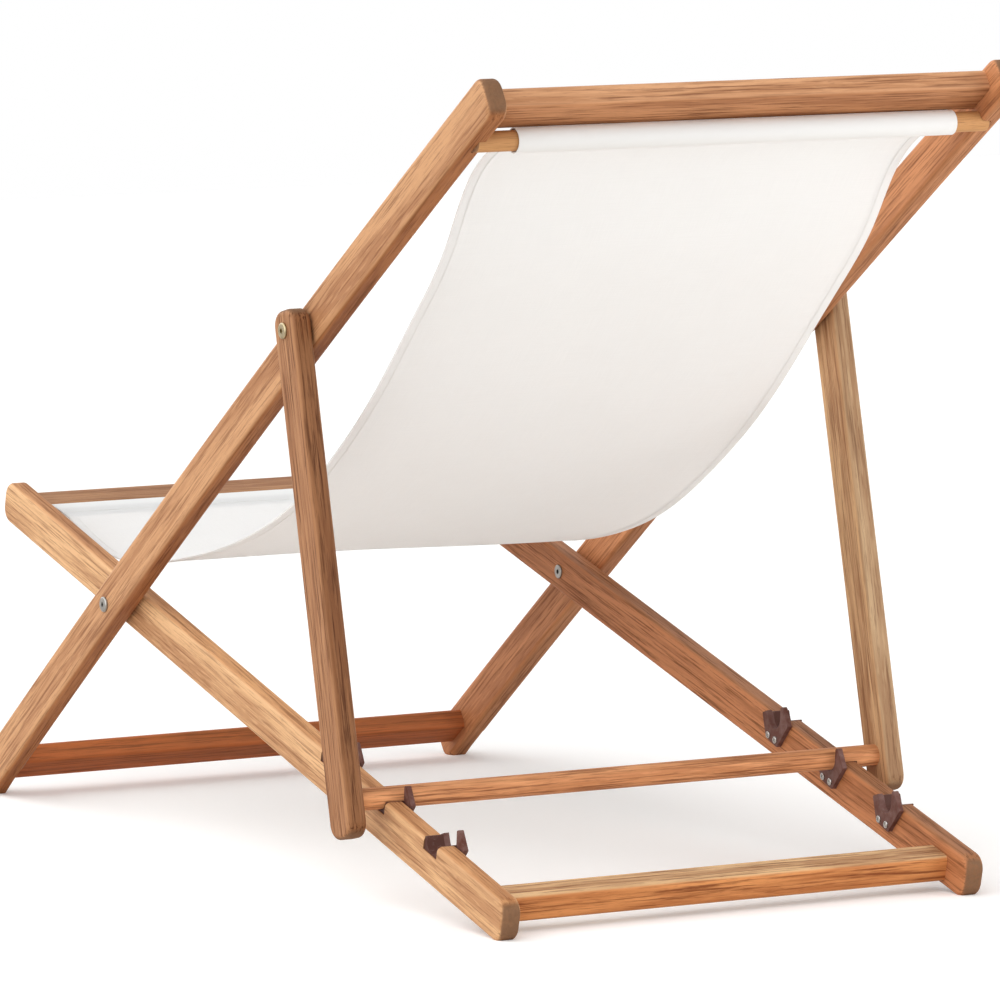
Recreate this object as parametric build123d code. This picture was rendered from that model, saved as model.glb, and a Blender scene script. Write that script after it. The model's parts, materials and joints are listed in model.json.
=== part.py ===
"""Folding sun chair with a fabric sling: one STEP file per node, millimetres.

The model is drawn about the scissor pivot and moved at the end, so that the
floor is z = 0 and the footprint's middle is the origin. Front faces -Y.
"""
import os
from math import atan2, cos, degrees, hypot, radians, sin, tan

from build123d import *

os.makedirs("parts", exist_ok=True)

# Driving dimensions: side view
BACK_ANGLE = 34.27
SEAT_ANGLE = -14.84
PIVOT_HEIGHT = 227.0
BACK_TOP = 989.0
BACK_BOW_RADIUS = 25200.0
SEAT_FRONT = 304.0
PROP_PIVOT = 550.7
PROP_OVER_TOP = 19.5
PROP_OVER_BAR = 35.5
NOTCH_PITCH = 108.8
NOTCH_FROM_STRETCHER = 96.2

# Driving dimensions: how far each crossbar's middle is from its rails' ends
TOP_BAR_INSET = 42.0
FRONT_STRETCHER_INSET = 44.8
FRONT_BAR_INSET = 25.0
REAR_STRETCHER_INSET = 50.8
SEAT_BAR_DROP = 3.0

# Driving dimensions: sections
RAIL_W = 42.0
RAIL_T = 20.0
END_R = 15.0
EDGE_R = 4.8
BAR_W = 40.0
BAR_T = 21.0
BAR_EDGE_R = 5.0
REAR_BAR_W = 32.0
REAR_BAR_T = 26.0
PROP_BAR_D = 21.0
SPIGOT_D = 14.7
DOWEL_D = 19.0
DOWEL_CHAMFER = 1.0
FLAT_DEPTH = 1.2
TENON_L = 12.0
TENON_SHARE_W = 0.6
TENON_SHARE_T = 0.5

# Driving dimensions: bolts, sleeve nuts, washers and screws
BOLT_D = 8.0
HEAD_D = 15.5
HEAD_H = 2.6
HEX_R = 2.6
HEX_FLOOR = 0.6
NUT_BARREL_D = 11.0
NUT_WEB = 4.0
NUT_SHORT = 1.0
FLANGE_D = 14.0
SCISSOR_FLANGE_H = 1.8
PROP_FLANGE_H = 1.5
BOLT_TIP_IN = 6.0
WASHER_D = 20.5
SCREW_D = 3.5
SCREW_L = 14.0
SCREW_HEAD_D = 7.0
SCREW_HEAD_H = 1.6
SCREW_HEAD_R = 0.7
CROSS_W = 4.0
CROSS_T = 0.9
CROSS_TURN = 20.0

# Driving dimensions: notch brackets, about the middle of the bar they hold
PLATE_T = 5.0
PLATE_DROP = 27.0
PLATE_BEVEL = 2.0
PLATE_R = 1.6
LINER_T = 1.4
LIP_UP = 3.7
LIP_FALL = 4.0
HOOK_UP = 14.6
HOOK_W = 2.2
NOSE_L = 8.5
TAIL_L = 15.4
FRONT_LEAN = 33.0
REAR_LEAN = 9.0
SCREW_FRONT = -6.6
SCREW_REAR = 7.2
SCREW_DROP = 20.7

# Driving dimensions: across the chair, and the sling
INNER_HALF = 234.0
SEAT_GAP = 3.0
PROP_GAP = 2.0
SLING_SIDE_GAP = 6.0
SLING_SAG = 172.5
SLING_T = 1.6
HEM_EASE = 0.3
HEM_T = 2.0
HEM_CLEAR = 1.1
TOP_RUN = 16.0
FRONT_RUN = 14.0
TUCK = 2.0
TOP_NEST = 0.4
DOWEL_INSET = 5.5
DOWEL_RISE = 0.5
DOWEL_SOCKET = 10.0

# Fits and clearances
RUN_FIT = 0.05
SEAT_FIT = 0.05
FACE_FIT = 0.05
TENON_FIT = 0.05
NOTCH_FIT = 0.5
BAR_SINK = 0.3
SOCKET_FIT = 0.1
SLOT_FIT = 0.2
BOTTOM_GAP = 0.3
OVERCUT = 1.0
OPEN_CUT = 30.0

# Layers across the chair, from the seat rails outward
SEAT_IN = INNER_HALF
SEAT_OUT = SEAT_IN + RAIL_T
BACK_IN = SEAT_OUT + SEAT_GAP
BACK_OUT = BACK_IN + RAIL_T
PROP_IN = BACK_OUT + PROP_GAP
PROP_OUT = PROP_IN + RAIL_T

HALF_W = RAIL_W / 2


def along(angle, s, n):
    """Side-view point at s along and n across a member through the pivot."""
    a = radians(angle)
    return (s * cos(a) - n * sin(a), s * sin(a) + n * cos(a))


def side_plane(x, origin=(0.0, 0.0), angle=0.0):
    """Sketch plane across X: its x runs along the member, its y across it."""
    a = radians(angle)
    return Plane(origin=(x, origin[0], origin[1]), x_dir=(0, cos(a), sin(a)), z_dir=(1, 0, 0))


def bow(s):
    """Drop of the back rail's middle line below its tangent at the pivot."""
    return -s * s / (2 * BACK_BOW_RADIUS)


def board(face, plane):
    """Extrudes a side-view face to the rails' thickness and rounds its long edges."""
    solid = extrude(plane * face, RAIL_T)
    faces = solid.faces().sort_by(Axis.X)
    return fillet(faces[0].edges() + faces[-1].edges(), EDGE_R)


def rod_x(at, diameter, x0, x1):
    """Round rod along X from x0 to x1."""
    return extrude(side_plane(x0, at) * Circle(diameter / 2), x1 - x0)


def block_x(at, x0, x1, width, thick, angle):
    """Plain block along X, used for tenons, mortises and screw slots."""
    return extrude(side_plane(x0, at, angle) * Rectangle(width, thick), x1 - x0)


def tenoned_bar(at, inner, width, thick, angle):
    """Crossbar between two inner faces, with a stub tenon on each end."""
    half = inner - FACE_FIT
    bar = extrude(side_plane(-half, at, angle) * RectangleRounded(width, thick, BAR_EDGE_R), 2 * half)
    end = half + TENON_L
    return bar + block_x(at, -end, end, width * TENON_SHARE_W, thick * TENON_SHARE_T, angle)


def mortise(at, inner, width, thick, angle):
    """Blind mortise for a crossbar's tenon, from a rail's inner face."""
    fit = 2 * TENON_FIT
    return block_x(at, inner - OVERCUT, inner + TENON_L + BOTTOM_GAP,
                   width * TENON_SHARE_W + fit, thick * TENON_SHARE_T + fit, angle)


def other_side(solid):
    """The same piece on the chair's other side."""
    return mirror(solid, about=Plane.YZ)


# Rail ends: each foot's rounded corner dips below the floor by FLAT_DEPTH,
# and the floor plane then cuts a small flat on it.
CORNER = HALF_W - END_R
SEAT_DROP = sin(radians(-SEAT_ANGLE))
SEAT_LIFT = cos(radians(SEAT_ANGLE))
SEAT_REAR = END_R + (PIVOT_HEIGHT + FLAT_DEPTH - CORNER * SEAT_LIFT - END_R) / SEAT_DROP
BACK_RISE = sin(radians(BACK_ANGLE))
BACK_LIFT = cos(radians(BACK_ANGLE))
BACK_FOOT = END_R + (PIVOT_HEIGHT + FLAT_DEPTH - CORNER * BACK_LIFT - END_R) / BACK_RISE
floor_cut = Pos(0, 0, -1.5 * PIVOT_HEIGHT) * Box(4 * PROP_OUT, 4 * BACK_TOP, PIVOT_HEIGHT)

# Crossbars in the side view
TOP_BAR_AT = BACK_TOP - TOP_BAR_INSET
FRONT_STRETCHER_AT = BACK_FOOT - FRONT_STRETCHER_INSET
FRONT_BAR_AT = SEAT_FRONT - FRONT_BAR_INSET
REAR_STRETCHER_AT = SEAT_REAR - REAR_STRETCHER_INSET
FRONT_STRETCHER = along(BACK_ANGLE, -FRONT_STRETCHER_AT, bow(FRONT_STRETCHER_AT))
FRONT_BAR = along(SEAT_ANGLE, -FRONT_BAR_AT, -SEAT_BAR_DROP)
REAR_STRETCHER = along(SEAT_ANGLE, REAR_STRETCHER_AT, -SEAT_BAR_DROP)

# Prop pivot Q and the prop bar D in the middle notch
NOTCH_LAST = REAR_STRETCHER_AT - NOTCH_FROM_STRETCHER
NOTCHES = [NOTCH_LAST - 2 * NOTCH_PITCH, NOTCH_LAST - NOTCH_PITCH, NOTCH_LAST]
BAR_N = HALF_W - BAR_SINK
Q = along(BACK_ANGLE, PROP_PIVOT, bow(PROP_PIVOT))
D = along(SEAT_ANGLE, NOTCHES[1], BAR_N)
PROP_ANGLE = degrees(atan2(D[1] - Q[1], D[0] - Q[0]))
PROP_L = hypot(D[0] - Q[0], D[1] - Q[1])

# Sling dowels: the top one in slots that are open below, its hem nested under
# the top crossbar's lower edge; the front one just behind the front crossbar
SLING_HALF = INNER_HALF - SLING_SIDE_GAP
TUBE_IN = DOWEL_D / 2 + HEM_EASE
TUBE_OUT = TUBE_IN + HEM_T
PANEL_R = (TUBE_IN + TUBE_OUT) / 2
TOP_DOWEL_S = TOP_BAR_AT - BAR_W / 2
TOP_DOWEL_N = bow(TOP_DOWEL_S) - HALF_W + DOWEL_INSET
TOP_DOWEL = along(BACK_ANGLE, TOP_DOWEL_S, TOP_DOWEL_N)
TOP_BAR = along(BACK_ANGLE, TOP_BAR_AT, TOP_DOWEL_N + TUBE_OUT - TOP_NEST + BAR_T / 2)
FRONT_DOWEL_S = -(FRONT_BAR_AT - BAR_W / 2) + TUBE_OUT + HEM_CLEAR
FRONT_DOWEL = along(SEAT_ANGLE, FRONT_DOWEL_S, DOWEL_RISE)


def sling_dowel(at, inner):
    """Dowel that ends just short of the bottom of its sockets."""
    end = inner + DOWEL_SOCKET - SOCKET_FIT
    rod = rod_x(at, DOWEL_D, -end, end)
    return chamfer(rod.edges(), DOWEL_CHAMFER)


def dowel_slot():
    """Blind slot for the top dowel, open at the back rail's under edge."""
    width = DOWEL_D + 2 * SLOT_FIT
    x0 = BACK_IN - OVERCUT
    x1 = BACK_IN + DOWEL_SOCKET
    middle = along(BACK_ANGLE, TOP_DOWEL_S, TOP_DOWEL_N - RAIL_W / 4)
    return rod_x(TOP_DOWEL, width, x0, x1) + block_x(middle, x0, x1, width, RAIL_W / 2, BACK_ANGLE)


# Back rails: a very slight bow, rounded ends, a flat on the foot
BOW_ARCS = 8


def back_edge(offset):
    """One long edge of the back rail: short arcs of one circle, with its two ends."""
    radius = BACK_BOW_RADIUS + offset
    step = (BACK_TOP + BACK_FOOT) / (2 * BOW_ARCS)
    turns = [(i * step - BACK_FOOT) / BACK_BOW_RADIUS for i in range(2 * BOW_ARCS + 1)]
    pts = [(radius * sin(t), radius * cos(t) - BACK_BOW_RADIUS) for t in turns]
    arcs = [ThreePointArc(pts[i], pts[i + 1], pts[i + 2]) for i in range(0, 2 * BOW_ARCS, 2)]
    return arcs, pts[0], pts[-1]


low_arcs, low_a, low_b = back_edge(-HALF_W)
high_arcs, high_a, high_b = back_edge(HALF_W)
back_face = make_face([*low_arcs, Line(low_b, high_b), *high_arcs, Line(high_a, low_a)])
ends = (low_a, low_b, high_a, high_b)
corners = [v for v in back_face.vertices() if min(hypot(v.X - x, v.Y - y) for x, y in ends) < FACE_FIT]
back_face = fillet(corners, END_R)
back_rail = board(back_face, side_plane(BACK_IN, angle=BACK_ANGLE))
back_rail -= floor_cut
back_rail -= rod_x((0, 0), BOLT_D + 2 * RUN_FIT, BACK_IN - OVERCUT, BACK_OUT + OVERCUT)
back_rail -= rod_x(Q, BOLT_D + 2 * SEAT_FIT, BACK_IN - OVERCUT, BACK_OUT + OVERCUT)
back_rail -= rod_x(Q, NUT_BARREL_D + 2 * SEAT_FIT, BACK_IN - OVERCUT, BACK_OUT - NUT_SHORT / 2)
back_rail -= mortise(TOP_BAR, BACK_IN, BAR_W, BAR_T, BACK_ANGLE)
back_rail -= mortise(FRONT_STRETCHER, BACK_IN, BAR_W, BAR_T, BACK_ANGLE)
back_rail -= dowel_slot()

top_crossbar = tenoned_bar(TOP_BAR, BACK_IN, BAR_W, BAR_T, BACK_ANGLE)
front_stretcher = tenoned_bar(FRONT_STRETCHER, BACK_IN, BAR_W, BAR_T, BACK_ANGLE)
top_sling_dowel = sling_dowel(TOP_DOWEL, BACK_IN)

# Seat rails: straight, with a bore for the pivot's sleeve nut
seat_len = SEAT_REAR + SEAT_FRONT
seat_face = Pos((SEAT_REAR - SEAT_FRONT) / 2, 0) * RectangleRounded(seat_len, RAIL_W, END_R)
seat_rail = board(seat_face, side_plane(SEAT_IN, angle=SEAT_ANGLE))
seat_rail -= floor_cut
seat_rail -= rod_x((0, 0), NUT_BARREL_D + 2 * SEAT_FIT, SEAT_IN - OVERCUT, SEAT_OUT + OVERCUT)
seat_rail -= mortise(FRONT_BAR, SEAT_IN, BAR_W, BAR_T, SEAT_ANGLE)
seat_rail -= mortise(REAR_STRETCHER, SEAT_IN, REAR_BAR_W, REAR_BAR_T, SEAT_ANGLE)
seat_rail -= rod_x(FRONT_DOWEL, DOWEL_D + 2 * SOCKET_FIT, SEAT_IN - OVERCUT, SEAT_IN + DOWEL_SOCKET)

seat_front_crossbar = tenoned_bar(FRONT_BAR, SEAT_IN, BAR_W, BAR_T, SEAT_ANGLE)
seat_rear_stretcher = tenoned_bar(REAR_STRETCHER, SEAT_IN, REAR_BAR_W, REAR_BAR_T, SEAT_ANGLE)
front_sling_dowel = sling_dowel(FRONT_DOWEL, SEAT_IN)

# Slot that the prop bar drops into: half round below, the front wall leaning
# forward so that the bar can lift out as the back is raised
SLOT_R = PROP_BAR_D / 2 + NOTCH_FIT
RAIL_TOP = HALF_W - BAR_N
SLOT_FRONT = SLOT_R / cos(radians(FRONT_LEAN)) + RAIL_TOP * tan(radians(FRONT_LEAN))
NOTCH_FRONT = SLOT_FRONT + LINER_T
NOTCH_REAR = SLOT_R + LINER_T


def slot_face():
    """Side-view shape of the bar's slot, about the bar's middle."""
    f = radians(FRONT_LEAN)
    r = radians(REAR_LEAN)
    a = (-SLOT_R * cos(f), -SLOT_R * sin(f))
    b = (a[0] - OPEN_CUT * tan(f), a[1] + OPEN_CUT)
    c = (SLOT_R * cos(r), SLOT_R * sin(r))
    d = (c[0] - OPEN_CUT * tan(r), c[1] + OPEN_CUT)
    return Circle(SLOT_R) + make_face(Polyline(a, b, d, c, close=True))


def notch_face(fit, top):
    """Side-view shape of the wood's notch, shrunk by fit, up to a given top."""
    front = -NOTCH_FRONT + fit
    rear = NOTCH_REAR - fit
    low = -SLOT_R - LINER_T + fit
    return make_face(Polyline((front, low), (rear, low), (rear, top), (front, top), close=True))


def bracket_outline():
    """Side-view outline of the bracket's plate, about the bar's middle."""
    front = NOTCH_FRONT + NOSE_L
    pts = [
        (-front, RAIL_TOP - LIP_FALL),
        (-SLOT_R, RAIL_TOP + LIP_UP),
        (0.0, RAIL_TOP + LIP_UP),
        (SLOT_R - PLATE_BEVEL, RAIL_TOP + HOOK_UP - PLATE_BEVEL),
        (SLOT_R, RAIL_TOP + HOOK_UP),
        (SLOT_R + HOOK_W, RAIL_TOP + HOOK_UP),
        (SLOT_R + TAIL_L, RAIL_TOP),
        (SLOT_R, -PLATE_DROP),
        (-SLOT_R, PLATE_BEVEL - PLATE_DROP),
    ]
    return fillet(make_face(Polyline(*pts, close=True)).vertices(), PLATE_R)


def bracket_screw(at, face_x):
    """Cross-head screw driven outward, its head on the bracket's inner face."""
    seat_x = face_x - FACE_FIT
    head = rod_x(at, SCREW_HEAD_D, seat_x - SCREW_HEAD_H, seat_x)
    head = fillet(head.faces().sort_by(Axis.X)[0].edges(), SCREW_HEAD_R)
    shank = rod_x(at, SCREW_D, seat_x - SCREW_HEAD_H / 2, face_x + SCREW_L)
    top_x = seat_x - SCREW_HEAD_H - OVERCUT
    floor_x = seat_x - SCREW_HEAD_H / 2
    cross = block_x(at, top_x, floor_x, CROSS_W, CROSS_T, CROSS_TURN)
    cross += block_x(at, top_x, floor_x, CROSS_T, CROSS_W, CROSS_TURN)
    return head + shank - cross


brackets = []
screws = []
plate_x = SEAT_IN - FACE_FIT - PLATE_T
for s in NOTCHES:
    centre = along(SEAT_ANGLE, s, BAR_N)
    cut = notch_face(0.0, RAIL_TOP + LIP_UP)
    seat_rail -= extrude(side_plane(SEAT_IN - OVERCUT, centre, SEAT_ANGLE) * cut, RAIL_T + 2 * OVERCUT)
    bracket = extrude(side_plane(plate_x, centre, SEAT_ANGLE) * bracket_outline(), PLATE_T)
    liner_x = plate_x + PLATE_T / 2
    liner = notch_face(SEAT_FIT, RAIL_TOP)
    bracket += extrude(side_plane(liner_x, centre, SEAT_ANGLE) * liner, SEAT_OUT - OVERCUT - liner_x)
    bracket -= extrude(side_plane(plate_x - OVERCUT, centre, SEAT_ANGLE) * slot_face(),
                       PLATE_T + RAIL_T + 2 * OVERCUT)
    pair = []
    for ds in (SCREW_FRONT, SCREW_REAR):
        at = along(SEAT_ANGLE, s + ds, BAR_N - SCREW_DROP)
        hole = rod_x(at, SCREW_D + 2 * SEAT_FIT, plate_x - OVERCUT, plate_x + SCREW_L + BOTTOM_GAP)
        bracket -= hole
        seat_rail -= hole
        pair.append(bracket_screw(at, plate_x))
    brackets.append(bracket)
    screws.append(pair)


def button_bolt(at, seat_x, tip_x):
    """Bolt pointing inward: a low round head with a hex socket, and a shank."""
    base = seat_x + FACE_FIT
    head = rod_x(at, HEAD_D, base, base + HEAD_H)
    head = fillet(head.faces().sort_by(Axis.X)[-1].edges(), HEAD_H * 0.6)
    shank = rod_x(at, BOLT_D, tip_x, base + HEAD_H / 2)
    socket = extrude(side_plane(base + HEX_FLOOR, at) * RegularPolygon(HEX_R, 6), HEAD_H)
    return head + shank - socket


def sleeve_nut(at, seat_x, tip_x, flange_h):
    """Flanged sleeve nut pointing outward, with a hex socket in its flange."""
    base = seat_x - FACE_FIT
    flange = rod_x(at, FLANGE_D, base - flange_h, base)
    flange = fillet(flange.faces().sort_by(Axis.X)[0].edges(), flange_h * 0.45)
    barrel = rod_x(at, NUT_BARREL_D, base - flange_h / 2, tip_x)
    bore = rod_x(at, BOLT_D + 2 * SEAT_FIT, base + NUT_WEB, tip_x + OVERCUT)
    socket = extrude(side_plane(base - flange_h - OVERCUT, at) * RegularPolygon(HEX_R, 6), flange_h + NUT_WEB)
    return flange + barrel - bore - socket


def washer(at, x0, gap):
    """Flat washer that fills the gap between two layers."""
    ring = rod_x(at, WASHER_D, x0 + FACE_FIT, x0 + gap - FACE_FIT)
    return ring - rod_x(at, BOLT_D + 2 * RUN_FIT, x0 - OVERCUT, x0 + gap + OVERCUT)


# Scissor pivot: sleeve nut in the seat rail, bolt through the back rail
scissor_nut = sleeve_nut((0, 0), SEAT_IN, SEAT_OUT - NUT_SHORT, SCISSOR_FLANGE_H)
scissor_bolt = button_bolt((0, 0), BACK_OUT, SEAT_IN + BOLT_TIP_IN)
scissor_washer = washer((0, 0), SEAT_OUT, SEAT_GAP)

# Prop pivot: bolt head outside the prop, sleeve nut inside the back rail
prop_nut = sleeve_nut(Q, BACK_IN, BACK_OUT - NUT_SHORT, PROP_FLANGE_H)
prop_bolt = button_bolt(Q, PROP_OUT, BACK_IN + BOLT_TIP_IN)
prop_washer = washer(Q, BACK_OUT, PROP_GAP)

# Props and the bar that joins them
prop_len = PROP_OVER_TOP + PROP_L + PROP_OVER_BAR
prop_face = Pos((PROP_L + PROP_OVER_BAR - PROP_OVER_TOP) / 2, 0) * RectangleRounded(prop_len, RAIL_W, END_R)
prop = board(prop_face, side_plane(PROP_IN, Q, PROP_ANGLE))
prop -= rod_x(Q, BOLT_D + 2 * RUN_FIT, PROP_IN - OVERCUT, PROP_OUT + OVERCUT)
prop -= rod_x(D, SPIGOT_D + 2 * TENON_FIT, PROP_IN - OVERCUT, PROP_IN + TENON_L + BOTTOM_GAP)
bar_half = PROP_IN - FACE_FIT
prop_bar = rod_x(D, PROP_BAR_D, -bar_half, bar_half)
prop_bar += rod_x(D, SPIGOT_D, -bar_half - TENON_L, bar_half + TENON_L)


# Sling: a panel that hangs between two hem tubes round the dowels
def leave(centre, angle, d):
    """Point where the panel is d along the rail from where it meets the tube."""
    off = along(angle, d, PANEL_R)
    return (centre[0] + off[0], centre[1] + off[1])


start = leave(TOP_DOWEL, BACK_ANGLE, TUCK)
start_2 = leave(TOP_DOWEL, BACK_ANGLE, -TOP_RUN)
end = leave(FRONT_DOWEL, SEAT_ANGLE, -TUCK)
end_2 = leave(FRONT_DOWEL, SEAT_ANGLE, FRONT_RUN)

# Hang of the panel: share of the span, and share of the sag below the span.
# The cloth bends first a little way below the top dowel, and hangs deepest
# a little in front of the middle.
HANG = [
    (0.045, 0.02), (0.087, 0.07), (0.118, 0.17), (0.154, 0.31), (0.231, 0.51), (0.344, 0.76),
    (0.482, 0.96), (0.606, 1.00), (0.736, 0.88), (0.849, 0.64), (0.927, 0.335),
]
span = (end[0] - start[0], end[1] - start[1])
span_l = hypot(span[0], span[1])
sag = (-SLING_SAG * span[1] / span_l, SLING_SAG * span[0] / span_l)
path = [start, start_2]
for t, d in HANG:
    path.append((start[0] + t * span[0] + d * sag[0], start[1] + t * span[1] + d * sag[1]))
path += [end_2, end]
middle_line = Spline(*path)

# Both faces of the panel are half a thickness off its middle line
SECTIONS = 40
upper = []
lower = []
for i in range(SECTIONS + 1):
    at = middle_line @ (i / SECTIONS)
    t = middle_line % (i / SECTIONS)
    upper.append((at.X - t.Y * SLING_T / 2, at.Y + t.X * SLING_T / 2))
    lower.append((at.X + t.Y * SLING_T / 2, at.Y - t.X * SLING_T / 2))
panel_face = make_face([
    Spline(*upper),
    Line(upper[-1], lower[-1]),
    Spline(*lower[::-1]),
    Line(lower[0], upper[0]),
])
sling = extrude(side_plane(-SLING_HALF) * panel_face, 2 * SLING_HALF)
for centre in (TOP_DOWEL, FRONT_DOWEL):
    sling += rod_x(centre, 2 * TUBE_OUT, -SLING_HALF, SLING_HALF)
for centre in (TOP_DOWEL, FRONT_DOWEL):
    sling -= rod_x(centre, 2 * TUBE_IN, -SLING_HALF - OVERCUT, SLING_HALF + OVERCUT)

nodes = {
    "seat_front_crossbar": seat_front_crossbar,
    "seat_rear_stretcher": seat_rear_stretcher,
    "front_sling_dowel": front_sling_dowel,
    "top_crossbar": top_crossbar,
    "front_stretcher": front_stretcher,
    "top_sling_dowel": top_sling_dowel,
    "prop_bar": prop_bar,
    "sling": sling,
}
pairs = {
    "seat_rail": seat_rail,
    "back_rail": back_rail,
    "prop": prop,
    "scissor_bolt": scissor_bolt,
    "scissor_nut": scissor_nut,
    "scissor_washer": scissor_washer,
    "prop_bolt": prop_bolt,
    "prop_nut": prop_nut,
    "prop_washer": prop_washer,
}
for label, piece in pairs.items():
    nodes[f"{label}_left"] = piece
    nodes[f"{label}_right"] = other_side(piece)
for number, (bracket, pair) in enumerate(zip(brackets, screws), 1):
    nodes[f"notch_bracket_left_{number}"] = bracket
    nodes[f"notch_bracket_right_{number}"] = other_side(bracket)
    for letter, screw in zip("ab", pair):
        nodes[f"bracket_screw_left_{number}{letter}"] = screw
        nodes[f"bracket_screw_right_{number}{letter}"] = other_side(screw)

# Move everything so that the floor is z = 0 and the footprint is centred
y_low = min(piece.bounding_box().min.Y for piece in nodes.values())
y_high = max(piece.bounding_box().max.Y for piece in nodes.values())
SHIFT_Y = -(y_low + y_high) / 2
for name, piece in nodes.items():
    export_step(Pos(0, SHIFT_Y, PIVOT_HEIGHT) * piece, f"parts/{name}.step")


def report(label, point):
    """Prints a side-view point in the moved frame."""
    print(label, round(point[0] + SHIFT_Y, 3), round(point[1] + PIVOT_HEIGHT, 3))


print("nodes", len(nodes))
report("pivot", (0, 0))
report("prop pivot", Q)
report("prop bar", D)
report("top dowel", TOP_DOWEL)
report("front dowel", FRONT_DOWEL)
print("prop angle", round(PROP_ANGLE, 3), "length", round(PROP_L, 2), "span", round(span_l, 1))
print("seat rear", round(SEAT_REAR, 2), "back foot", round(BACK_FOOT, 2))
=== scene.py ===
import json
from math import acos, atan2, cos, pi, radians, sin

import bmesh
import bpy
import numpy as np
from bpy.props import FloatProperty, FloatVectorProperty, PointerProperty
from mathutils import Euler, Matrix, Vector


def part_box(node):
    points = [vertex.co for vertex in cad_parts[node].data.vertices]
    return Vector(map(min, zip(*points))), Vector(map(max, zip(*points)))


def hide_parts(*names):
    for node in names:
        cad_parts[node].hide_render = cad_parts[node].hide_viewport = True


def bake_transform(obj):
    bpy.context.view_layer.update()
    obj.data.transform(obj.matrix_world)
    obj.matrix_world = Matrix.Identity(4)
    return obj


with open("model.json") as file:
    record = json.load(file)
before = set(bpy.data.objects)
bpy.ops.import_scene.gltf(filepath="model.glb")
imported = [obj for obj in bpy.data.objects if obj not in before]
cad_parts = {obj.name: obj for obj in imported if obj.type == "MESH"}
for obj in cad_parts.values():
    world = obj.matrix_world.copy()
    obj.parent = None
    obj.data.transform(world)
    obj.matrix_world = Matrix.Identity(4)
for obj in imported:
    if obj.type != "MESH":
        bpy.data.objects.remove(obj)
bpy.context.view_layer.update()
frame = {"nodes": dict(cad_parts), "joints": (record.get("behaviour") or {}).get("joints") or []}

bl_info = {
    "name": "Folding sun chair",
    "version": (1, 0, 0),
    "blender": (4, 5, 0),
    "location": "View3D > Sidebar > Sun chair",
    "description": "Dresses a folding sun chair: timber, fittings, canvas sling, stitching and stage",
    "category": "Object",
}

# Lines of the chair in the side view, as in the part's source
JOINTS = {joint["name"]: joint for joint in frame["joints"]}
PIVOT = Vector(JOINTS["back_fold"]["pos_m"])
PROP_PIVOT = Vector(JOINTS["prop_swing"]["pos_m"])
BACK_TILT = radians(34.27)
SEAT_TILT = radians(-14.84)
PROP_TILT = radians(-77.335)
BACK_BOW = 1 / (2 * 25.2)

# Hang line of the sling: radius round a dowel, straight ends, sag, then shares of the span and the sag
PANEL_R = 0.0111
TUCK = 0.002
TOP_RUN = 0.016
FRONT_RUN = 0.014
SAG = 0.1725
HANG = [
    (0.045, 0.02), (0.087, 0.07), (0.118, 0.17), (0.154, 0.31), (0.231, 0.51), (0.344, 0.76),
    (0.482, 0.96), (0.606, 1.00), (0.736, 0.88), (0.849, 0.64), (0.927, 0.335),
]
WHITE = (1.0, 1.0, 1.0)


def colour(name, default, description):
    """A colour that a user may change."""
    return FloatVectorProperty(name=name, description=description, default=default,
                               subtype="COLOR", size=3, min=0.0, max=1.0)


def length(name, default, description):
    """A length in metres that a user may change."""
    return FloatProperty(name=name, description=description, default=default,
                         unit="LENGTH", precision=4)


def strength(name, default, description):
    """A strength of light that a user may change."""
    return FloatProperty(name=name, description=description, default=default, min=0.0)


class SunChairTimber(bpy.types.PropertyGroup):
    """Colours of the oiled hardwood and of the bare dowels."""
    pale: colour("Pale wood", (0.60, 0.318, 0.155), "Colour of the lightest bands of the grain")
    warm: colour("Warm wood", (0.40, 0.182, 0.080), "Colour of the common bands of the grain")
    deep: colour("Deep wood", (0.16, 0.055, 0.022), "Colour of the streaks and pores")
    red: colour("Red wood", (0.45, 0.148, 0.052), "Colour that the redder members lean towards")
    end: colour("End grain", (0.22, 0.118, 0.064), "Colour of the sawn ends")
    dowel: colour("Dowel wood", (0.59, 0.307, 0.125), "Colour of the bare sling dowels")


class SunChairFittings(bpy.types.PropertyGroup):
    """Colours of the brackets, screws, bolts and washers."""
    plastic: colour("Bracket plastic", (0.14, 0.05, 0.036), "Colour of the moulded brackets")
    zinc: colour("Zinc", (0.55, 0.54, 0.52), "Colour of the bracket screws")
    steel: colour("Steel", (0.36, 0.35, 0.33), "Colour of the scissor bolts, nuts and washers")
    brass: colour("Yellow zinc", (0.44, 0.36, 0.21), "Colour of the prop bolts")


class SunChairSling(bpy.types.PropertyGroup):
    """Sizes and colours of the canvas sling."""
    width: length("Width", 0.4565, "Width of the sewn sling")
    side_shift: length("Side shift", -0.0018, "How far the sling has slid along its dowels")
    draw_in: length("Draw in", 0.003, "How much narrower the hanging part is than its hem tubes")
    thickness: length("Thickness", 0.001, "Thickness of one layer of canvas")
    side_hem: length("Side hem", 0.011, "Width of the folded side hems")
    hem_reach: length("Hem reach", 0.024, "Distance from each dowel to its hem's seam")
    hem_lap: length("Hem lap", 0.014, "Length of cloth sewn down past the seam")
    twist: length("Twist", 0.008, "How far one side of the seat hangs above the middle")
    front_dip: length("Front dip", 0.015, "How far that side dips by the front hem")
    back_twist: length("Back twist", 0.0045, "How far the other side of the back hangs above the middle")
    ripple: length("Ripple", 0.0006, "Height of the puckers next to the seams")
    canvas: colour("Canvas", (0.765, 0.776, 0.778), "Colour of the canvas")
    weave: length("Weave", 0.0009, "Distance between the canvas's threads")


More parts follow.
